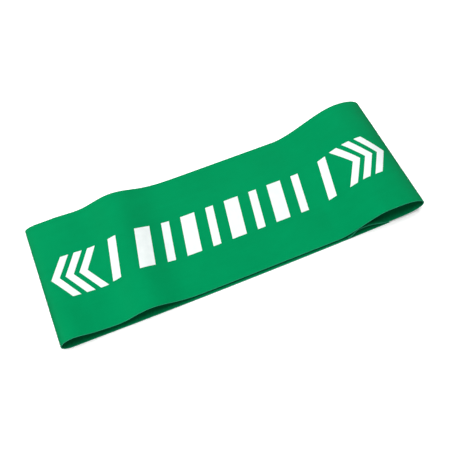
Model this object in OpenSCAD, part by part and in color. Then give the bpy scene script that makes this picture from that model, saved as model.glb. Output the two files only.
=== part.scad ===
// Loop resistance band: one thin latex strip, closed by a lapped seam, lying as two plies.
// +X runs along the loop, +Y across the strip, +Z up, with the origin at the centre of the base.

/* [Strip] */
// Length of the loop laid flat, fold to fold
flat_length = 208.8; // [190:0.1:230]
// Width of the strip
strip_width = 76; // [60:1:90]
// Thickness of the latex
strip_thickness = 0.7; // [0.5:0.05:0.9]

/* [How it lies] */
// Rise of the upper ply over the lower in the middle, at the front edge
front_rise = 2.1; // [1.8:0.1:3]
// Rise of the upper ply over the lower in the middle, at the back edge
back_rise = 1.8; // [1.6:0.1:3]
// Extra rise where the left end opens into its fold, at the front edge
left_front_rise = 4; // [1:0.1:5]
// Extra rise where the left end opens into its fold, at the back edge
left_back_rise = 3.2; // [1:0.1:5]
// Further rise of the left fold's front corner
tip_rise = 2.8; // [0:0.1:3]
// Height of the wave near the left end, at the front edge
front_wave = 6.2; // [5:0.1:7]
// Height of the wave near the left end, at the back edge
back_wave = 7; // [5:0.1:8]
// Extra rise of the open right fold, at the front edge
front_fold_rise = 11; // [10:0.1:15]
// Extra rise of the open right fold, at the back edge
back_fold_rise = 14.4; // [11:0.1:18]
// Height of the right fold's lower side off the ground
right_lift = 1.2; // [0.9:0.1:2]
// Sideways bow of the lower ply's middle towards the front
lower_bow = 1; // [0:0.1:2]

/* [Seam] */
// Length of the lap where the two ends of the strip are bonded, beside the right fold
lap_length = 26; // [24:1:28]
// Thickness of the adhesive film
adhesive_thickness = 0.06; // [0.04:0.01:0.08]
// Rise of the inner layer's front edge, where a margin without adhesive gapes
margin_rise = 3.8; // [0:0.1:3.8]
// Width of that margin
margin_width = 9; // [8:0.5:12]

/* [Print] */
// Number of slanted bars in the middle of the upper ply
bar_count = 8; // [4:2:8]
// Height of the bars across the strip
bar_height = 25; // [10:1:30]
// Number of chevrons at each end
chevron_count = 3; // [1:1:3]
// Height of the chevrons across the strip
chevron_height = 26; // [10:1:30]
// Thickness of the ink film above the latex
ink_thickness = 0.1; // [0.06:0.01:0.15]

/* [Hidden] */

half_length = (flat_length - strip_thickness) / 2;
half_width = strip_width / 2;

// Lengths of the left and right folds' rounded noses, and how early the noses turn down
nose_reach = [7, 16];
nose_fullness = 1.2;

// The cuts between panels, which leave room for the panels to slide past each other
cut_gap = 0.8;
upper_cut = 56;
lower_cut = 57;
middle_cut = 20;
right_cut = 40;

// Centre and width of each wave, and the stretch over which each end rises
front_wave_at = -56;
back_wave_at = -53.5;
front_wave_width = 15;
back_wave_width = 16.7;
left_rise_from = 66;
left_rise_to = 88;
tip_from = 84;
right_rise_from = [52, 47];
right_rise_to = [82, 88];

// The lap: the strip's inner end lies on its outer end, and leaves it for the fold past the adhesive
lap_from = lower_cut + cut_gap;
lap_to = lap_from + lap_length;
lap_step = strip_thickness + adhesive_thickness;
adhesive_margin = 2;
adhesive_front = margin_width + 1;
right_lift_from = lap_to - adhesive_margin;

// The gaping margin rises from the inner end, stays up, and closes where the lap ends
margin_grow = 6.5;
margin_close_from = 69;
margin_close = 17.5;

// Print layout
bars_span = 106;
bar_pitch = bars_span / bar_count;
bar_slant = 5;
wide_bar = 8.4;
narrow_bar = 4.6;
print_y = -1.5;
end_bar_at = 63.5;
chevron_from = 71;
chevron_pitch = 7.5;
chevron_width = 4.4;
chevron_point = 8;
ink_bite = 0.05;

// Grid sizes of the curved panels
fold_steps = 20;
nose_steps = 12;
upper_steps = 18;
margin_steps = 6;
width_steps = 5;
small_step = 0.01;

latex_green = [0, 0.6, 0.36];
ink_white = [0.95, 0.96, 0.95];
adhesive_amber = [0.82, 0.76, 0.55];

// ---- Shape of the plies ----

function ease(t) = let (c = min(1, max(0, t))) c * c * (3 - 2 * c);
function mix(a, b, t) = a + (b - a) * t;
function hump(x, at, width) = exp(-pow((x - at) / width, 2));
function unit(v) = v / norm(v);
function back_share(y) = min(1, max(0, (y + half_width) / strip_width));

// Length of a fold's nose, and where the nose starts. side is negative at the left
function reach_at(side) = nose_reach[side > 0 ? 1 : 0];
function nose_at(side) = half_length - reach_at(side);

// Height of the folds' lower sides: the left one lies on the ground, the right one on the outer end
function lower_z(x) =
    let (climb = ease((x - right_lift_from) / (nose_at(1) - right_lift_from)))
    strip_thickness / 2 + (x < 0 ? 0 : mix(lap_step, right_lift, climb));

// Rise of the upper ply over the lower one at one edge: i is 0 at the front and 1 at the back
function edge_rise(x, i) =
    let (
        middle = [front_rise, back_rise][i],
        wave = i == 0 ? front_wave * hump(x, front_wave_at, front_wave_width)
                      : back_wave * hump(x, back_wave_at, back_wave_width),
        left = [left_front_rise, left_back_rise][i]
            * ease((-x - left_rise_from) / (left_rise_to - left_rise_from)),
        tip = i == 0 ? tip_rise * ease((-x - tip_from) / (nose_at(-1) - tip_from)) : 0,
        right = [front_fold_rise, back_fold_rise][i]
            * ease((x - right_rise_from[i]) / (right_rise_to[i] - right_rise_from[i]))
    )
    middle + wave + left + tip + right;

function upper_z(x, y) = strip_thickness / 2 + mix(edge_rise(x, 0), edge_rise(x, 1), back_share(y));

// Sideways shifts of the two plies, which share the bow so that the loop stays centred
upper_shift = lower_bow / 2;
function lower_shift(x) = upper_shift - lower_bow * (1 - pow(x / half_length, 2));

function margin_lift(x, y) =
    margin_rise * (1 - ease((y + half_width) / margin_width))
        * ease((x - lap_from) / margin_grow)
        * (1 - ease((x - margin_close_from) / margin_close));

// A raised margin draws in, because it gets no wider
function lower_point(x, y) =
    let (lift = margin_lift(x, y))
    [x, y + lower_shift(x) + lift * lift / (2 * margin_width), lower_z(x) + lift];

// Round the nose from the upper ply, t = 0, to the lower ply, t = 1
function nose_point(side, t, y) =
    let (
        upper = upper_z(side * nose_at(side), y),
        low = lower_point(side * nose_at(side), y),
        turn = ease(t) + nose_fullness * pow(t * (1 - t), 2),
        bulge = 4 * reach_at(side) * t * (1 - t)
    )
    [side * (nose_at(side) + bulge), mix(y + upper_shift, low[1], turn), mix(upper, low[2], turn)];

function upper_point(x, y) =
    let (past = abs(x) - nose_at(x))
    past <= 0 ? [x, y + upper_shift, upper_z(x, y)]
              : nose_point(sign(x), (1 - sqrt(1 - past / reach_at(x))) / 2, y);

// A fold from its cut on the lower ply, s = 0, round the nose, 1 to 2, to its cut on the upper ply, s = 3
function fold_point(side, s, y) =
    s < 1 ? lower_point(side * mix(lap_from, nose_at(side), s), y)
    : s < 2 ? nose_point(side, 2 - s, y)
    : upper_point(side * mix(nose_at(side), upper_cut + cut_gap, s - 2), y);

function fold_normal(side, s, y) =
    let (
        along = fold_point(side, s + small_step, y) - fold_point(side, s - small_step, y),
        across = fold_point(side, s, y + small_step) - fold_point(side, s, y - small_step)
    )
    -side * unit(cross(along, across));

function upper_normal(x, y) =
    unit(cross(
        upper_point(x + small_step, y) - upper_point(x - small_step, y),
        upper_point(x, y + small_step) - upper_point(x, y - small_step)
    ));

// Stations across the strip, close together over the margin
stations = concat(
    [for (j = [0:margin_steps - 1]) -half_width + margin_width * j / margin_steps],
    [for (j = [0:width_steps]) -half_width + mix(margin_width, strip_width, j / width_steps)]
);

// A closed solid between two grids of points, top and bottom, which have the same rows and columns
module between(top, bottom) {
    rows = len(top);
    columns = len(top[0]);
    under = rows * columns;
    function at(i, j) = i * columns + j;
    skins = [for (i = [0:rows - 2]) for (j = [0:columns - 2])
        each [
            [at(i, j), at(i, j + 1), at(i + 1, j)],
            [at(i + 1, j), at(i, j + 1), at(i + 1, j + 1)],
            [under + at(i, j), under + at(i + 1, j), under + at(i, j + 1)],
            [under + at(i + 1, j), under + at(i + 1, j + 1), under + at(i, j + 1)]
        ]];
    ends = [for (j = [0:columns - 2])
        each [
            [at(0, j), under + at(0, j), at(0, j + 1)],
            [at(0, j + 1), under + at(0, j), under + at(0, j + 1)],
            [at(rows - 1, j), at(rows - 1, j + 1), under + at(rows - 1, j)],
            [at(rows - 1, j + 1), under + at(rows - 1, j + 1), under + at(rows - 1, j)]
        ]];
    sides = [for (i = [0:rows - 2])
        each [
            [at(i, 0), at(i + 1, 0), under + at(i, 0)],
            [at(i + 1, 0), under + at(i + 1, 0), under + at(i, 0)],
            [at(i, columns - 1), under + at(i, columns - 1), at(i + 1, columns - 1)],
            [at(i + 1, columns - 1), under + at(i, columns - 1), under + at(i + 1, columns - 1)]
        ]];
    polyhedron(points = concat([for (row = top) each row], [for (row = bottom) each row]),
        faces = concat(skins, ends, sides));
}

// ---- The strip ----

module flat_panel(x0, x1) {
    steps = 8;
    xs = [for (i = [0:steps]) mix(x0, x1, i / steps)];
    linear_extrude(strip_thickness)
        polygon(concat(
            [for (x = xs) [x, -half_width + lower_shift(x)]],
            [for (i = [steps:-1:0]) [xs[i], half_width + lower_shift(xs[i])]]
        ));
}

module lower_ply() {
    color(latex_green) flat_panel(-middle_cut, right_cut);
}

module lower_ply_left() {
    color(latex_green) flat_panel(-lower_cut, -middle_cut - cut_gap);
}

module lower_ply_right() {
    color(latex_green) flat_panel(right_cut + cut_gap, lower_cut);
}

// A fold's panel: the grid of its outer skin on one side and its inner skin on the other
module fold_panel(side) {
    steps = concat(
        [for (i = [0:fold_steps - 1]) i / fold_steps],
        [for (i = [0:nose_steps - 1]) 1 + i / nose_steps],
        [for (i = [0:fold_steps]) 2 + i / fold_steps]
    );
    half = strip_thickness / 2;
    outer = [for (s = steps) [for (y = stations) fold_point(side, s, y) + half * fold_normal(side, s, y)]];
    inner = [for (s = steps) [for (y = stations) fold_point(side, s, y) - half * fold_normal(side, s, y)]];
    color(latex_green)
        if (side > 0) between(inner, outer);
        else between(outer, inner);
}

module left_fold() {
    fold_panel(-1);
}

module right_fold() {
    fold_panel(1);
}

// A patch on the upper ply, from below to above its middle surface, over a grid of [x, y]
module upper_patch(grid, below, above) {
    between(
        [for (row = grid) [for (p = row) upper_point(p[0], p[1]) + above * upper_normal(p[0], p[1])]],
        [for (row = grid) [for (p = row) upper_point(p[0], p[1]) + below * upper_normal(p[0], p[1])]]
    );
}

module upper_panel(x0, x1) {
    grid = [for (i = [0:upper_steps]) [for (y = stations) [mix(x0, x1, i / upper_steps), y]]];
    color(latex_green) upper_patch(grid, -strip_thickness / 2, strip_thickness / 2);
}

module upper_ply_left() {
    upper_panel(-upper_cut, -cut_gap / 2);
}

module upper_ply_right() {
    upper_panel(cut_gap / 2, upper_cut);
}

// The strip's outer end, under the inner end that comes back from the right fold
module seam_underlap() {
    color(latex_green) flat_panel(lap_from, lap_to);
}

module seam_adhesive() {
    color(adhesive_amber)
        translate([lap_from + adhesive_margin, -half_width + adhesive_front, strip_thickness])
            cube([
                lap_length - 2 * adhesive_margin,
                strip_width - adhesive_front - adhesive_margin,
                adhesive_thickness
            ]);
}

// ---- The print ----

// A four-sided ink mark that starts at x. Across the strip it leans along +X, or its middle points along X
module ink_mark(x, width, height, lean, point) {
    columns = 8;
    grid = [for (u = [0, 0.5, 1]) [for (j = [0:columns])
        let (v = j / columns)
        [x + width * u + lean * (v - 0.5) + point * (1 - abs(2 * v - 1)), print_y + height * (v - 0.5)]]];
    surface = strip_thickness / 2;
    upper_patch(grid, surface - ink_bite, surface + ink_thickness);
}

module bars(first, last) {
    color(ink_white)
        for (i = [first:last]) {
            width = i % 2 == 0 ? wide_bar : narrow_bar;
            ink_mark(-bars_span / 2 + bar_pitch * (i + 0.5) - width / 2, width, bar_height, bar_slant, 0);
        }
}

module bars_left_print() {
    bars(0, bar_count / 2 - 1);
}

module bars_right_print() {
    bars(bar_count / 2, bar_count - 1);
}

// One more bar and the chevrons, on a fold
module end_print(side) {
    color(ink_white) {
        ink_mark(side * end_bar_at - narrow_bar / 2, narrow_bar, bar_height, bar_slant, 0);
        for (i = [0:chevron_count - 1]) {
            near = chevron_from + chevron_pitch * i;
            start = side > 0 ? near : -near - chevron_width;
            ink_mark(start, chevron_width, chevron_height, 0, side * chevron_point);
        }
    }
}

module left_end_print() {
    end_print(-1);
}

module right_end_print() {
    end_print(1);
}

lower_ply();
lower_ply_left();
left_fold();
upper_ply_left();
upper_ply_right();
right_fold();
lower_ply_right();
seam_underlap();
seam_adhesive();
bars_left_print();
bars_right_print();
left_end_print();
right_end_print();
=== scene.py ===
import math

import bpy
import numpy as np
from mathutils import Matrix, Vector


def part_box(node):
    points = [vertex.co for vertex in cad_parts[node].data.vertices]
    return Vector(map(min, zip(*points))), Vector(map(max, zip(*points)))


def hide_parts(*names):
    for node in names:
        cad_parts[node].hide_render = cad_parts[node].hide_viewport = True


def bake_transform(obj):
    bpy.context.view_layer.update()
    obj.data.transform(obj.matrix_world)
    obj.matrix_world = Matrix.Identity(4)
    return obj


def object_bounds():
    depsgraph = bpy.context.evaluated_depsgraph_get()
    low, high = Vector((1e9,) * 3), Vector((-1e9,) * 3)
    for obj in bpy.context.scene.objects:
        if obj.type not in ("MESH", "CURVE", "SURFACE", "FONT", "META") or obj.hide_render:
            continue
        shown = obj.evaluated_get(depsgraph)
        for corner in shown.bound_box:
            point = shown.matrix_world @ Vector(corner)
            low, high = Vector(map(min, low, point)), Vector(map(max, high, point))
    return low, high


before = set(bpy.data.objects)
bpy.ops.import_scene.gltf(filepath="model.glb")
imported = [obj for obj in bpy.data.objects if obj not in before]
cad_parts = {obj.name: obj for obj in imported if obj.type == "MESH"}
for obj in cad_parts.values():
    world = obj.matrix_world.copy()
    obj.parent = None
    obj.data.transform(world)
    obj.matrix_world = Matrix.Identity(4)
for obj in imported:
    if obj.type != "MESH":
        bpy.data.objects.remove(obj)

# A loop resistance band: one thin latex strip lying as two plies, with a fold at each end.
# Shapes are worked out in millimetres in the CAD's frame, and become metres where a mesh is made.
MM = 0.001
CAD_LOW, CAD_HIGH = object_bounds()


def cad_box(node):
    """Lowest and highest corner of a CAD node, in millimetres."""
    low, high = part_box(node)
    return [v / MM for v in low], [v / MM for v in high]


# ---- Sizes read from the frame ----
THICKNESS = cad_box("lower_ply")[1][2] - cad_box("lower_ply")[0][2]
WIDTH = cad_box("upper_ply_right")[1][1] - cad_box("upper_ply_right")[0][1]
HALF_WIDTH = WIDTH / 2
HALF_LENGTH = (CAD_HIGH.x - CAD_LOW.x) / MM / 2 - THICKNESS / 2
UPPER_SHIFT = cad_box("upper_ply_right")[1][1] - HALF_WIDTH
LOWER_BOW = 2 * UPPER_SHIFT
LOWER_END = cad_box("lower_ply")[1][0]
PLY_CUT = cad_box("lower_ply_right")[1][0]
LAP_FROM, LAP_TO = (corner[0] for corner in cad_box("seam_underlap"))
FILM_LOW, FILM_HIGH = cad_box("seam_adhesive")
LAP_STEP = FILM_HIGH[2]

# ---- How the plies lie, as in the CAD ----
LEFT_NOSE_REACH = 7
RIGHT_NOSE_REACH = 16
LEFT_NOSE_AT = HALF_LENGTH - LEFT_NOSE_REACH
RIGHT_NOSE_AT = HALF_LENGTH - RIGHT_NOSE_REACH
NOSE_FULLNESS = 1.2

# Rises of the upper ply along its front and back edges: in the middle, at the left end and its tip,
# over the wave near the left end, and over the right fold
FRONT = dict(
    middle=2.1, left=4.0, tip=2.8, wave=6.2, wave_at=-56, wave_width=15, fold=11, fold_from=52, fold_to=82
)
BACK = dict(
    middle=1.8, left=3.2, tip=0, wave=7, wave_at=-53.5, wave_width=16.7, fold=14.4, fold_from=47, fold_to=88
)
LEFT_RISE_FROM = 66
LEFT_RISE_TO = 88
TIP_FROM = 84

# The inner end's rise from the lap to the right fold, and its gaping front margin
RIGHT_LIFT = 1.2
RIGHT_LIFT_FROM = FILM_HIGH[0]
MARGIN = dict(rise=3.8, width=9, grow=6.5, close_from=69, close=17.5)

# ---- Where the strip stretches and bends as the joints move ----
STRETCH_ZONE = 55
LOWER_STRETCH_INSET = 2
LOWER_STRETCH_TO = LOWER_END - LOWER_STRETCH_INSET
OPEN_FROM = 58
OPEN_TO = 94
# How far round a nose, from 0 at the upper ply to 1 at the lower ply, two lengths of strip meet
NOSE_SEAM = 0.74

# ---- Mesh detail ----
# Slopes are measured over this step to each side
SLOPE_STEP = 0.01
ROW_SPACING = 1.0
NOSE_ROWS = 56

# The strip's cut edges have rounded corners of this radius
CORNER = 0.14
CORNER_STEPS = 3

# Steps across the strip from its front edge: finest in the rim, then over the gaping margin, then coarse
RIM_TO = 2
RIM_STEPS = 12
MARGIN_TO = 14
MARGIN_STEPS = 16
FAR_STEPS = 45

# The UV map follows the strip, along and across, and one unit of it is this many millimetres
UV_UNIT = 100

# ---- The print ----
BAR_COUNT = 8
BARS_SPAN = 106
BAR_HEIGHT = 25
BAR_SLANT = 5
WIDE_BAR = 8.4
NARROW_BAR = 4.6
PRINT_Y = -1.5
CHEVRON_COUNT = 3
END_BAR_AT = 63.5
CHEVRON_FROM = 71
CHEVRON_PITCH = 7.5
CHEVRON_WIDTH = 4.4
CHEVRON_HEIGHT = 26
CHEVRON_POINT = 8
INK_BITE = 0.05
INK_PROUD = 0.035
INK_LINES = 12
INK_COLUMNS = 36

# ---- Materials ----
# A noise's usual values
NOISE_RANGE = (0.3, 0.7)

LATEX_SHADE = (0.0, 0.190, 0.062, 1)
LATEX_LIGHT = (0.0, 0.222, 0.074, 1)
LATEX_POWDER = (0.04, 0.30, 0.15, 1)
# Painted highlight: the paler colour the cut edges are painted towards, so that they look as though they
# catch the light
LATEX_EDGE_HIGHLIGHT = (0.05, 0.50, 0.28, 1)
LATEX_SHEEN = (0.0, 1.0, 0.55, 1)
LATEX_SPECULAR = 0.12
LATEX_ROUGHNESS = (0.48, 0.56)
# How far the cut edges are painted towards that highlight colour
EDGE_HIGHLIGHT_STRENGTH = 0.9

# How much the clouding, the mottling and the streaks each change the latex's tone
CLOUD_TONE = 0.5
MOTTLE_TONE = 0.25
STREAK_TONE = 0.12
TONE_LIMIT = 0.8

# Values of the noise over which spots and patches of powder, and pinholes in the ink, come in
POWDER_SPOTS = (0.60, 0.74)
POWDER_PATCHES = (0.42, 0.70)
POWDER_MOST = 0.30
POWDER_ROUGHENS = 0.5
PINHOLES = (0.70, 0.78)
PINHOLE_MOST = 0.35

INK_SHADE = (0.62, 0.67, 0.66, 1)
INK_LIGHT = (0.68, 0.72, 0.71, 1)
INK_PINHOLE = (0.25, 0.6, 0.42, 1)
INK_ROUGHNESS = (0.50, 0.62)

CEMENT_SHADE = (0.48, 0.40, 0.20, 1)
CEMENT_LIGHT = (0.62, 0.55, 0.32, 1)
CEMENT_ROUGHNESS = (0.35, 0.6)

PAPER_SHADE = (0.90, 0.90, 0.90, 1)
PAPER_LIGHT = (0.92, 0.92, 0.92, 1)
PAPER_ROUGHNESS = 0.8
WHITE = (1, 1, 1, 1)

# ---- Stage, light and camera, in metres and degrees ----
CENTRE = Vector(((CAD_LOW.x + CAD_HIGH.x) / 2, (CAD_LOW.y + CAD_HIGH.y) / 2, 0))

FLOOR_DROP = 0.0001
FLOOR_REACH = 6.0
FLOOR_GLOW = 0.25
BACKDROP_RADIUS = 3.0
BACKDROP_GLOW = 0.55
BACKDROP_RINGS = 24
BACKDROP_SIDES = 96

# Brightness of the world above and below the horizon, and how far down the change goes
SKY_LEVEL = 0.4
BOUNCE_LEVEL = 0.09
SKY_EDGE = 0.1

# Each light's name, azimuth, elevation, size and power
LIGHT_DISTANCE = 1.2
LIGHTS = (
    ("softbox_top", 180, 82, 1.1, 14.5),
    ("softbox_left", -100, 35, 0.7, 7.0),
    ("front_fill", 0, 48, 0.6, 0.9),
)

CAMERA_AZIMUTH = -18.8
CAMERA_ELEVATION = 58.2
CAMERA_ROLL = -4.6
CAMERA_DISTANCE = 0.3913
CAMERA_LENS = 56.0
CAMERA_SENSOR = 36
CAMERA_NEAR = 0.01
AIM = Vector((0.0, -0.0019, 0.0))


# ---- The shape of the strip's middle surface ----

def ease(t):
    c = np.clip(t, 0, 1)
    return c * c * (3 - 2 * c)


def edge_rise(x, e):
    """Rise of the upper ply over the ground along its front or back edge."""
    wave = e["wave"] * np.exp(-(((x - e["wave_at"]) / e["wave_width"]) ** 2))
    left = e["left"] * ease((-x - LEFT_RISE_FROM) / (LEFT_RISE_TO - LEFT_RISE_FROM))
    tip = e["tip"] * ease((-x - TIP_FROM) / (LEFT_NOSE_AT - TIP_FROM))
    fold = e["fold"] * ease((x - e["fold_from"]) / (e["fold_to"] - e["fold_from"]))
    return e["middle"] + wave + left + tip + fold


def upper_z(x, y):
    share = np.clip((y + HALF_WIDTH) / WIDTH, 0, 1)
    return THICKNESS / 2 + edge_rise(x, FRONT) * (1 - share) + edge_rise(x, BACK) * share


def lower_shift(x):
    return UPPER_SHIFT - LOWER_BOW * (1 - (x / HALF_LENGTH) ** 2)


def lower_point(x, y):
    """The lower ply, flat on the ground up to the strip's outer end."""
    return np.stack([x, y + lower_shift(x), THICKNESS / 2 + 0 * x], -1)


def margin_lift(x, y):
    """Height to which the inner end's front margin, which has no adhesive, gapes over the outer end."""
    inward = 1 - ease((y + HALF_WIDTH) / MARGIN["width"])
    grown = ease((x - LAP_FROM) / MARGIN["grow"])
    return MARGIN["rise"] * inward * grown * (1 - ease((x - MARGIN["close_from"]) / MARGIN["close"]))


def lap_point(x, y):
    """The strip's inner end, on the adhesive over the outer end, and its rise to the right fold."""
    climb = ease((x - RIGHT_LIFT_FROM) / (RIGHT_NOSE_AT - RIGHT_LIFT_FROM))
    lift = margin_lift(x, y)
    drawn_in = lift ** 2 / (2 * MARGIN["width"])
    z = THICKNESS / 2 + LAP_STEP + (RIGHT_LIFT - LAP_STEP) * climb + lift
    return np.stack([x, y + lower_shift(x) + drawn_in, z], -1)


def nose_reach(side):
    """Length of a fold's nose. side is negative at the left."""
    return np.where(side > 0, RIGHT_NOSE_REACH, LEFT_NOSE_REACH)


def nose_point(side, t, y):
    """Round a fold's nose from the upper ply, t = 0, to the lower ply, t = 1."""
    start = HALF_LENGTH - nose_reach(side)
    x_low = side * start + 0 * y
    low = np.where((x_low > 0)[..., None], lap_point(x_low, y), lower_point(x_low, y))
    turn = ease(t) + NOSE_FULLNESS * (t * (1 - t)) ** 2
    x = side * (start + 4 * nose_reach(side) * t * (1 - t))
    z = upper_z(side * start, y) * (1 - turn) + low[..., 2] * turn
    return np.stack([x, (y + UPPER_SHIFT) * (1 - turn) + low[..., 1] * turn, z], -1)


def upper_point(x, y):
    """The upper ply, and the upper side of a nose where x is past the nose's start."""
    reach = nose_reach(x)
    past = np.maximum(np.abs(x) - (HALF_LENGTH - reach), 0)
    t = (1 - np.sqrt(np.maximum(1 - past / reach, 0))) / 2
    flat = np.stack([x, y + UPPER_SHIFT, upper_z(x, y)], -1)
    return np.where((past > 0)[..., None], nose_point(np.sign(x), t, y), flat)


def left_nose(t, y):
    return nose_point(-1, t, y)


def right_nose(t, y):
    return nose_point(1, t, y)


def unit(v):
    return v / np.linalg.norm(v, axis=-1, keepdims=True)


def surface(point, a, y, direction):
    """Point, outward normal and across direction of the strip's middle surface."""
    a, y = np.broadcast_arrays(np.asarray(a, float), np.asarray(y, float))
    along = (point(a + SLOPE_STEP, y) - point(a - SLOPE_STEP, y)) * direction
    across = point(a, y + SLOPE_STEP) - point(a, y - SLOPE_STEP)
    return point(a, y), unit(np.cross(along, across)), unit(across)


# ---- Meshes ----

def spaced(start, stop, count):
    return np.linspace(start, stop, max(2, int(round(count)) + 1))


def steps(start, stop):
    """Places from start to stop along X or Y."""
    return spaced(start, stop, abs(stop - start) / ROW_SPACING)


def nose_steps(start, stop):
    """Parameters from start to stop round a nose."""
    return spaced(start, stop, abs(stop - start) * NOSE_ROWS)


def make_mesh(name, points, faces, normals, uvs, rim):
    """A smooth mesh in metres, with sharp edges between the points in rim.
    normals and uvs go corner by corner of the faces."""
    mesh = bpy.data.meshes.new(name)
    mesh.from_pydata((points * MM).tolist(), [], faces)
    mesh.polygons.foreach_set("use_smooth", [True] * len(mesh.polygons))
    ends = np.empty(2 * len(mesh.edges), np.int32)
    mesh.edges.foreach_get("vertices", ends)
    mesh.edges.foreach_set("use_edge_sharp", np.isin(ends, rim).reshape(-1, 2).all(axis=1))
    layer = mesh.uv_layers.new(name="strip")
    layer.data.foreach_set("uv", np.asarray(uvs, np.float32).ravel())
    mesh.normals_split_custom_set(np.asarray(normals, float).tolist())
    mesh.update()
    piece = bpy.data.objects.new(name, mesh)
    bpy.context.scene.collection.objects.link(piece)
    return piece


def cut_profile():
    """The strip's cross-section as a closed ring, and the number of points along its top.
    A row of the ring is y, height off the middle surface, normal across and normal out."""
    inner = -HALF_WIDTH + CORNER
    rim = np.linspace(0, RIM_TO, RIM_STEPS + 1)
    margin = np.linspace(RIM_TO, MARGIN_TO, MARGIN_STEPS + 1)[1:]
    near = inner + np.concatenate([rim, margin])
    far = np.linspace(near[-1], -inner, FAR_STEPS + 1)[1:]
    ys = np.concatenate([near, far])
    half = THICKNESS / 2
    top = [(y, half, 0, 1) for y in ys]
    upper_corner = []
    for k in range(CORNER_STEPS):
        a = math.pi / 2 * (k + 0.5) / CORNER_STEPS
        y = HALF_WIDTH - CORNER + CORNER * math.sin(a)
        h = half - CORNER + CORNER * math.cos(a)
        upper_corner.append((y, h, math.sin(a), math.cos(a)))
    lower_corner = [(y, -h, ny, -nh) for y, h, ny, nh in reversed(upper_corner)]
    back = upper_corner + lower_corner
    bottom = [(y, -half, 0, -1) for y in reversed(ys)]
    front = [(-y, h, -ny, nh) for y, h, ny, nh in reversed(back)]
    return np.array(top + back + bottom + front), len(ys)


RING, TOP_COUNT = cut_profile()


def cap_quads(ring, flip):
    """Faces that close one end of the strip, between its top and bottom rows."""
    corner = 2 * CORNER_STEPS
    top = ring[:TOP_COUNT]
    back = ring[TOP_COUNT:TOP_COUNT + corner]
    bottom = ring[TOP_COUNT + corner:2 * TOP_COUNT + corner][::-1]
    front = ring[2 * TOP_COUNT + corner:]
    faces = [[top[k], top[k + 1], bottom[k + 1], bottom[k]] for k in range(TOP_COUNT - 1)]
    faces.append([top[-1], *back, bottom[-1]])
    faces.append([bottom[0], *front, top[0]])
    return [f[::-1] for f in faces] if flip else faces


def strip_piece(name, runs, start_u):
    """A closed length of strip. runs are (point function, parameters in order along the strip).
    Returns the object and its length along the middle surface."""
    y, out = RING[:, 0], RING[:, 1]
    rows, row_normals, middles = [], [], []
    for point, params in runs:
        direction = 1 if params[-1] > params[0] else -1
        first = 1 if rows else 0
        a = np.array(params)[first:, None]
        p, n, across = surface(point, a, y[None, :], direction)
        rows.append(p + n * out[None, :, None])
        row_normals.append(n * RING[None, :, 3:4] + across * RING[None, :, 2:3])
        middles.append(surface(point, a, np.zeros((1, 1)), direction)[0][:, 0])
    points, normals = np.concatenate(rows), unit(np.concatenate(row_normals))
    spans = np.linalg.norm(np.diff(np.concatenate(middles), axis=0), axis=1)
    u = start_u + np.concatenate([[0], np.cumsum(spans)])
    uv = np.stack(np.broadcast_arrays(u[:, None], y[None, :]), -1).reshape(-1, 2) / UV_UNIT

    count, around = points.shape[:2]
    i, k = np.meshgrid(np.arange(count - 1), np.arange(around), indexing="ij")
    here, after = i * around, (i + 1) * around
    nxt = (k + 1) % around
    quads = np.stack([here + k, after + k, after + nxt, here + nxt], -1).reshape(-1, 4)
    faces = quads.tolist()
    corner_normals = [normals.reshape(-1, 3)[quads.ravel()]]
    corner_uvs = [uv[quads.ravel()]]
    for row, sign in ((0, -1), (count - 1, 1)):
        ring = list(range(row * around, (row + 1) * around))
        caps = cap_quads(ring, flip=sign < 0)
        edge = np.concatenate([np.array(c) for c in caps])
        reach = points[1] - points[0] if row == 0 else points[-1] - points[-2]
        facing = sign * unit(reach.mean(0))
        corner_normals.append(np.tile(facing, (len(edge), 1)))
        corner_uvs.append(uv[edge])
        faces += caps
    rim = [*range(around), *range((count - 1) * around, count * around)]
    corner_normals = np.concatenate(corner_normals)
    corner_uvs = np.concatenate(corner_uvs)
    piece = make_mesh(name, points.reshape(-1, 3), faces, corner_normals, corner_uvs, rim)
    return piece, u[-1] - start_u


def slab(points, rows, cols, up=(0, 0, 1)):
    """A thin closed solid whose points are a top grid and then a bottom grid of rows by cols.
    Returns points, faces, normals corner by corner, and the points along its sharp border."""
    under = rows * cols
    i, j = np.meshgrid(np.arange(rows - 1), np.arange(cols - 1), indexing="ij")
    at = (i * cols + j).ravel()
    quads = np.stack([at, at + cols, at + cols + 1, at + 1], -1)
    number = np.arange(under).reshape(rows, cols)
    border = np.concatenate([number[0, :-1], number[:-1, -1], number[-1, :0:-1], number[:0:-1, 0]])
    nxt = np.roll(border, -1)
    walls = np.stack([border, nxt, nxt + under, border + under], -1)
    faces = np.concatenate([quads, quads[:, ::-1] + under, walls])
    flat = np.broadcast_to(np.asarray(up, float), (under, 3))
    start = points[walls[:, 0]]
    outward = unit(np.cross(points[walls[:, 1]] - start, points[walls[:, 3]] - start))
    normals = [flat[quads.ravel()], -flat[quads[:, ::-1].ravel()], np.repeat(outward, 4, axis=0)]
    return points, faces, np.concatenate(normals), np.concatenate([border, border + under])


def follow(piece):
    """Bake a piece's placement into its mesh."""
    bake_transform(piece)


# ---- Making the materials ----

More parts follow.
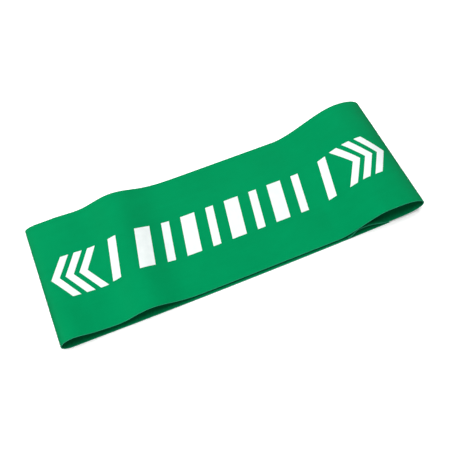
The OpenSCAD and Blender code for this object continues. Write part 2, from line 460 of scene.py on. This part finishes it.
class Nodes:
    """Short calls for building a material's nodes."""

    def __init__(self, name):
        self.material = bpy.data.materials.new(name)
        self.material.use_nodes = True
        self.tree = self.material.node_tree
        self.tree.nodes.clear()
        self.output = self.tree.nodes.new("ShaderNodeOutputMaterial")

    def add(self, kind, inputs=None, **settings):
        node = self.tree.nodes.new(kind)
        for key, value in settings.items():
            setattr(node, key, value)
        for key, value in (inputs or {}).items():
            self.set(node.inputs[key], value)
        return node

    def set(self, socket, value):
        if isinstance(value, bpy.types.NodeSocket):
            self.tree.links.new(value, socket)
        else:
            socket.default_value = value

    def strip_coordinates(self, along=1.0, across=1.0):
        """Position on the strip, in UV units along and across, times these factors."""
        uv = self.add("ShaderNodeUVMap", uv_map="strip").outputs["UV"]
        scaled = self.add("ShaderNodeVectorMath", {0: uv, 1: (along, across, 1)}, operation="MULTIPLY")
        return scaled.outputs["Vector"]

    def object_coordinates(self):
        return self.add("ShaderNodeTexCoord").outputs["Object"]

    def noise(self, vector, scale, detail=2.0, roughness=0.5):
        inputs = {"Vector": vector, "Scale": scale, "Detail": detail, "Roughness": roughness}
        return self.add("ShaderNodeTexNoise", inputs).outputs["Fac"]

    def remap(self, value, low, high, to_low=0.0, to_high=1.0):
        inputs = {"Value": value, "From Min": low, "From Max": high, "To Min": to_low, "To Max": to_high}
        return self.add("ShaderNodeMapRange", inputs).outputs["Result"]

    def spread(self, noise, to_low=0.0, to_high=1.0):
        """A noise's usual values, spread over this range."""
        return self.remap(noise, *NOISE_RANGE, to_low, to_high)

    def maths(self, operation, a, b):
        return self.add("ShaderNodeMath", {0: a, 1: b}, operation=operation).outputs["Value"]

    def mix(self, factor, a, b):
        node = self.add("ShaderNodeMix", data_type="RGBA")
        self.set(node.inputs["Factor"], factor)
        self.set(node.inputs["A"], a)
        self.set(node.inputs["B"], b)
        return node.outputs["Result"]

    def bump(self, height, distance, strength, normal=None):
        """Relief of this depth in millimetres, on top of another relief if there is one."""
        inputs = {"Height": height, "Distance": distance * MM, "Strength": strength}
        if normal is not None:
            inputs["Normal"] = normal
        return self.add("ShaderNodeBump", inputs).outputs["Normal"]

    def finish(self, colour, roughness, normal=None, **others):
        """The material, with its shader. others are further inputs of the shader by their own names."""
        inputs = {"Base Color": colour, "Roughness": roughness, **others}
        if normal is not None:
            inputs["Normal"] = normal
        shader = self.add("ShaderNodeBsdfPrincipled", inputs)
        self.tree.links.new(shader.outputs["BSDF"], self.output.inputs["Surface"])
        return self.material


def latex_material():
    """Satin green latex with calender streaks, soft mottling, a trace of powder, and a painted highlight
    along its cut edges.
    """
    n = Nodes("latex")
    cloud = n.noise(n.strip_coordinates(), scale=2.6, detail=3.0, roughness=0.55)
    mottle = n.noise(n.strip_coordinates(across=1.6), scale=14.0, detail=4.0, roughness=0.6)
    streak = n.noise(n.strip_coordinates(along=1.2, across=60.0), scale=1.0)
    grain = n.noise(n.strip_coordinates(), scale=420.0, roughness=0.6)
    powder_spots = n.noise(n.strip_coordinates(), scale=160.0, detail=3.0, roughness=0.7)
    powder_patches = n.noise(n.strip_coordinates(across=2.0), scale=3.4, detail=4.0, roughness=0.65)

    tone = n.spread(cloud, -CLOUD_TONE, CLOUD_TONE)
    tone = n.maths("ADD", tone, n.spread(mottle, -MOTTLE_TONE, MOTTLE_TONE))
    tone = n.maths("ADD", tone, n.spread(streak, -STREAK_TONE, STREAK_TONE))
    green = n.mix(n.remap(tone, -TONE_LIMIT, TONE_LIMIT), LATEX_SHADE, LATEX_LIGHT)

    spots = n.remap(powder_spots, *POWDER_SPOTS)
    patches = n.remap(powder_patches, *POWDER_PATCHES, 0.0, POWDER_MOST)
    powder = n.maths("MULTIPLY", spots, patches)
    colour = n.mix(powder, green, LATEX_POWDER)

    # Painted highlight: the rounded cut edges are found by their place across the strip and coloured paler,
    # as though they catch the light
    across = n.add("ShaderNodeSeparateXYZ", {0: n.strip_coordinates()}).outputs["Y"]
    off_middle = n.maths("ABSOLUTE", across, 0.0)
    edge_highlight = n.remap(off_middle, (HALF_WIDTH - CORNER) / UV_UNIT, HALF_WIDTH / UV_UNIT, 0.0, EDGE_HIGHLIGHT_STRENGTH)
    colour = n.mix(edge_highlight, colour, LATEX_EDGE_HIGHLIGHT)

    powdered = n.maths("MULTIPLY", powder, POWDER_ROUGHENS)
    roughness = n.maths("ADD", n.spread(mottle, *LATEX_ROUGHNESS), powdered)
    relief = n.bump(grain, distance=0.02, strength=0.5)
    relief = n.bump(streak, distance=0.03, strength=0.6, normal=relief)
    relief = n.bump(mottle, distance=0.12, strength=0.5, normal=relief)
    gloss = {"Specular IOR Level": LATEX_SPECULAR, "Specular Tint": LATEX_SHEEN}
    return n.finish(colour, roughness, relief, **gloss)


def ink_material():
    """Semi-matte white screen ink, a little uneven, with fine pinholes."""
    n = Nodes("print_ink")
    uneven = n.noise(n.strip_coordinates(), scale=22.0, detail=4.0, roughness=0.6)
    pinholes = n.noise(n.strip_coordinates(), scale=300.0, roughness=0.6)
    white = n.mix(n.spread(uneven), INK_SHADE, INK_LIGHT)
    colour = n.mix(n.remap(pinholes, *PINHOLES, 0.0, PINHOLE_MOST), white, INK_PINHOLE)
    relief = n.bump(pinholes, distance=0.02, strength=0.6)
    return n.finish(colour, n.spread(uneven, *INK_ROUGHNESS), relief)


def adhesive_material():
    """Dull amber rubber cement."""
    n = Nodes("rubber_cement")
    lumps = n.noise(n.object_coordinates(), scale=900.0, detail=3.0, roughness=0.6)
    colour = n.mix(lumps, CEMENT_SHADE, CEMENT_LIGHT)
    relief = n.bump(lumps, distance=0.04, strength=0.5)
    return n.finish(colour, n.spread(lumps, *CEMENT_ROUGHNESS), relief)


def studio_material(name, glow):
    """Pale paper with a faint grain, a little brighter than the light alone makes it."""
    n = Nodes(name)
    grain = n.noise(n.object_coordinates(), scale=60.0, detail=3.0)
    colour = n.mix(grain, PAPER_SHADE, PAPER_LIGHT)
    light = {"Emission Color": WHITE, "Emission Strength": glow}
    return n.finish(colour, PAPER_ROUGHNESS, **light)


# ---- Building the latex strip ----

def strip_lengths():
    """The lengths of strip in order: from its outer end in the lap, round the left fold and then the
    right one, to its inner end. Each crosses between two bodies in its zone."""
    return [
        dict(
            name="strip_lower_right",
            runs=[(lower_point, steps(LAP_TO, LOWER_END))],
            zone=(OPEN_TO, OPEN_FROM),
            bodies=("right_fold", "lower_ply_right"),
            nodes=("lower_ply_right", "seam_underlap"),
        ),
        dict(
            name="strip_lower",
            runs=[(lower_point, steps(LOWER_END, -PLY_CUT))],
            zone=(LOWER_STRETCH_TO, -STRETCH_ZONE),
            bodies=("lower_ply", "lower_ply_left"),
            nodes=("lower_ply", "lower_ply_left"),
        ),
        dict(
            name="strip_left_lower",
            runs=[
                (lower_point, steps(-PLY_CUT, -LEFT_NOSE_AT)),
                (left_nose, nose_steps(1, NOSE_SEAM)),
            ],
            zone=(-OPEN_FROM, -OPEN_TO),
            bodies=("lower_ply_left", "left_fold"),
            nodes=("left_fold",),
        ),
        dict(
            name="strip_left_upper",
            runs=[
                (left_nose, nose_steps(NOSE_SEAM, 0)),
                (upper_point, steps(-LEFT_NOSE_AT, -PLY_CUT)),
            ],
            zone=(-OPEN_TO, -OPEN_FROM),
            bodies=("left_fold", "upper_ply_left"),
            nodes=(),
        ),
        dict(
            name="strip_upper",
            runs=[(upper_point, steps(-PLY_CUT, PLY_CUT))],
            zone=(-STRETCH_ZONE, STRETCH_ZONE),
            bodies=("upper_ply_left", "upper_ply_right"),
            nodes=("upper_ply_left", "upper_ply_right"),
        ),
        dict(
            name="strip_right_upper",
            runs=[
                (upper_point, steps(PLY_CUT, RIGHT_NOSE_AT)),
                (right_nose, nose_steps(0, NOSE_SEAM)),
            ],
            zone=(OPEN_FROM, OPEN_TO),
            bodies=("upper_ply_right", "right_fold"),
            nodes=("right_fold",),
        ),
        dict(
            name="strip_right_lower",
            runs=[
                (right_nose, nose_steps(NOSE_SEAM, 1)),
                (lap_point, steps(RIGHT_NOSE_AT, LAP_FROM)),
            ],
            zone=(OPEN_TO, OPEN_FROM),
            bodies=("right_fold", "lower_ply_right"),
            nodes=(),
        ),
    ]


def build_strip():
    latex = latex_material()
    u = 0.0
    for part in strip_lengths():
        piece, length = strip_piece(part["name"], part["runs"], u)
        u += length
        piece.data.materials.append(latex)
        follow(piece)
        if part["nodes"]:
            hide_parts(*part["nodes"])


def build_film():
    """The adhesive film between the strip's two ends."""
    xs = steps(FILM_LOW[0], FILM_HIGH[0])
    ys = steps(FILM_LOW[1], FILM_HIGH[1])
    grid = [(x, y, z) for z in (FILM_HIGH[2], FILM_LOW[2]) for x in xs for y in ys]
    points, faces, normals, rim = slab(np.array(grid), len(xs), len(ys))
    uvs = points[faces.ravel(), :2] / UV_UNIT
    film = make_mesh("seam_film", points, faces.tolist(), normals, uvs, rim)
    film.data.materials.append(adhesive_material())
    follow(film)
    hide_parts("seam_adhesive")


# ---- Building the print ----

def ink_patch(x, width, height, lean, point):
    """A four-sided mark of ink on the upper ply, which starts at x. It leans towards +X from front to
    back, or has its middle pushed along X to a point.
    Returns points, faces, normals and uvs corner by corner, and the points along its border."""
    u = np.linspace(0, 1, INK_LINES + 1)[:, None]
    v = np.linspace(0, 1, INK_COLUMNS + 1)[None, :]
    xs = x + width * u + lean * (v - 0.5) + point * (1 - np.abs(2 * v - 1))
    ys = PRINT_Y + height * (v - 0.5) + 0 * xs
    middle, normal, _ = surface(upper_point, xs, ys, 1)
    half = THICKNESS / 2
    top, bottom = middle + normal * (half + INK_PROUD), middle + normal * (half - INK_BITE)
    points = np.concatenate([top.reshape(-1, 3), bottom.reshape(-1, 3)])
    points, faces, normals, rim = slab(points, *xs.shape, normal.reshape(-1, 3))
    uv = np.stack([xs, ys], -1).reshape(-1, 2) / UV_UNIT
    return points, faces, normals, np.concatenate([uv, uv])[faces.ravel()], rim


def bar(x, width):
    return ink_patch(x, width, BAR_HEIGHT, BAR_SLANT, 0)


def ink_piece(name, patches, material, nodes):
    """One piece of print, made of several marks."""
    points, faces, normals, uvs, rims = (list(column) for column in zip(*patches))
    starts = np.cumsum([0] + [len(p) for p in points[:-1]])
    faces = np.concatenate([f + start for f, start in zip(faces, starts)])
    rims = np.concatenate([r + start for r, start in zip(rims, starts)])
    points, normals, uvs = (np.concatenate(column) for column in (points, normals, uvs))
    piece = make_mesh(name, points, faces.tolist(), normals, uvs, rims)
    piece.data.materials.append(material)
    follow(piece)
    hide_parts(*nodes)


def build_print():
    ink = ink_material()
    pitch = BARS_SPAN / BAR_COUNT
    bars = []
    for i in range(BAR_COUNT):
        width = WIDE_BAR if i % 2 == 0 else NARROW_BAR
        bars.append(bar(-BARS_SPAN / 2 + pitch * (i + 0.5) - width / 2, width))
    zone = (-STRETCH_ZONE, STRETCH_ZONE)
    ink_piece("print_bars", bars, ink, ["bars_left_print", "bars_right_print"])
    for side, name, bodies, zone in (
        (-1, "left_end", ("left_fold", "upper_ply_left"), (-OPEN_TO, -OPEN_FROM)),
        (1, "right_end", ("upper_ply_right", "right_fold"), (OPEN_FROM, OPEN_TO)),
    ):
        marks = [bar(side * END_BAR_AT - NARROW_BAR / 2, NARROW_BAR)]
        for i in range(CHEVRON_COUNT):
            near = CHEVRON_FROM + CHEVRON_PITCH * i
            start = near if side > 0 else -near - CHEVRON_WIDTH
            marks.append(ink_patch(start, CHEVRON_WIDTH, CHEVRON_HEIGHT, 0, side * CHEVRON_POINT))
        ink_piece(f"print_{name}", marks, ink, [f"{name}_print"])


# ---- Building the stage, light and camera ----

def stage_piece(name, points, faces, glow):
    """A floor or backdrop, which adds no light to the band."""
    mesh = bpy.data.meshes.new(name)
    mesh.from_pydata(points, [], faces)
    mesh.polygons.foreach_set("use_smooth", [True] * len(mesh.polygons))
    piece = bpy.data.objects.new(name, mesh)
    piece.location.z = CAD_LOW.z - FLOOR_DROP
    piece.data.materials.append(studio_material(f"pale_{name}", glow))
    piece.visible_diffuse = False
    piece.visible_glossy = False
    bpy.context.scene.collection.objects.link(piece)
    return piece


def build_stage():
    """A flat floor, and round it a dome that the light passes through."""
    r = FLOOR_REACH
    stage_piece("floor", [(-r, -r, 0), (r, -r, 0), (r, r, 0), (-r, r, 0)], [(0, 1, 2, 3)], FLOOR_GLOW)
    points, faces = [], []
    for i in range(BACKDROP_RINGS + 1):
        rise = math.pi / 2 * i / BACKDROP_RINGS
        across, up = BACKDROP_RADIUS * math.cos(rise), BACKDROP_RADIUS * math.sin(rise)
        for k in range(BACKDROP_SIDES):
            turn = 2 * math.pi * k / BACKDROP_SIDES
            points.append((across * math.cos(turn), across * math.sin(turn), up))
            if i > 0:
                here, side = i * BACKDROP_SIDES + k, i * BACKDROP_SIDES + (k + 1) % BACKDROP_SIDES
                faces.append((here - BACKDROP_SIDES, here, side, side - BACKDROP_SIDES))
    backdrop = stage_piece("backdrop", points, faces, BACKDROP_GLOW)
    backdrop.visible_shadow = False
    backdrop.visible_transmission = False


def away_from_band(azimuth, elevation):
    """A direction from the band. Azimuth 0 is in front, at -Y, and 90 at +X."""
    a, e = math.radians(azimuth), math.radians(elevation)
    return Vector((math.sin(a) * math.cos(e), -math.cos(a) * math.cos(e), math.sin(e)))


def area_light(name, azimuth, elevation, size, power):
    """A soft square light that faces the band."""
    away = away_from_band(azimuth, elevation)
    light = bpy.data.lights.new(name, "AREA")
    light.shape = "SQUARE"
    light.size = size
    light.energy = power
    lamp = bpy.data.objects.new(name, light)
    lamp.location = CENTRE + away * LIGHT_DISTANCE
    lamp.rotation_mode = "QUATERNION"
    lamp.rotation_quaternion = away.to_track_quat("Z", "Y")
    bpy.context.scene.collection.objects.link(lamp)


def build_light():
    world = bpy.data.worlds.new("studio")
    world.use_nodes = True
    nodes, links = world.node_tree.nodes, world.node_tree.links
    height = nodes.new("ShaderNodeSeparateXYZ")
    links.new(nodes.new("ShaderNodeTexCoord").outputs["Generated"], height.inputs["Vector"])
    level = nodes.new("ShaderNodeMapRange")
    level.inputs["From Min"].default_value = -SKY_EDGE
    level.inputs["From Max"].default_value = 0.0
    level.inputs["To Min"].default_value = BOUNCE_LEVEL
    level.inputs["To Max"].default_value = SKY_LEVEL
    links.new(height.outputs["Z"], level.inputs["Value"])
    links.new(level.outputs["Result"], nodes["Background"].inputs["Strength"])
    nodes["Background"].inputs["Color"].default_value = WHITE
    bpy.context.scene.world = world
    for light in LIGHTS:
        area_light(*light)
    bpy.context.scene.view_settings.view_transform = "Standard"


def build_camera():
    a, r = math.radians(CAMERA_AZIMUTH), math.radians(CAMERA_ROLL)
    back = away_from_band(CAMERA_AZIMUTH, CAMERA_ELEVATION)
    right = Vector((math.cos(a), math.sin(a), 0))
    up = back.cross(right)
    right, up = right * math.cos(r) + up * math.sin(r), up * math.cos(r) - right * math.sin(r)
    camera = bpy.data.objects.new("camera", bpy.data.cameras.new("camera"))
    camera.data.lens = CAMERA_LENS
    camera.data.sensor_width = CAMERA_SENSOR
    camera.data.clip_start = CAMERA_NEAR
    camera.rotation_mode = "QUATERNION"
    camera.rotation_quaternion = Matrix((right, up, back)).transposed().to_quaternion()
    camera.location = CENTRE + AIM + back * CAMERA_DISTANCE
    bpy.context.scene.collection.objects.link(camera)
    bpy.context.scene.camera = camera


build_strip()
build_film()
build_print()
build_stage()
build_light()
build_camera()
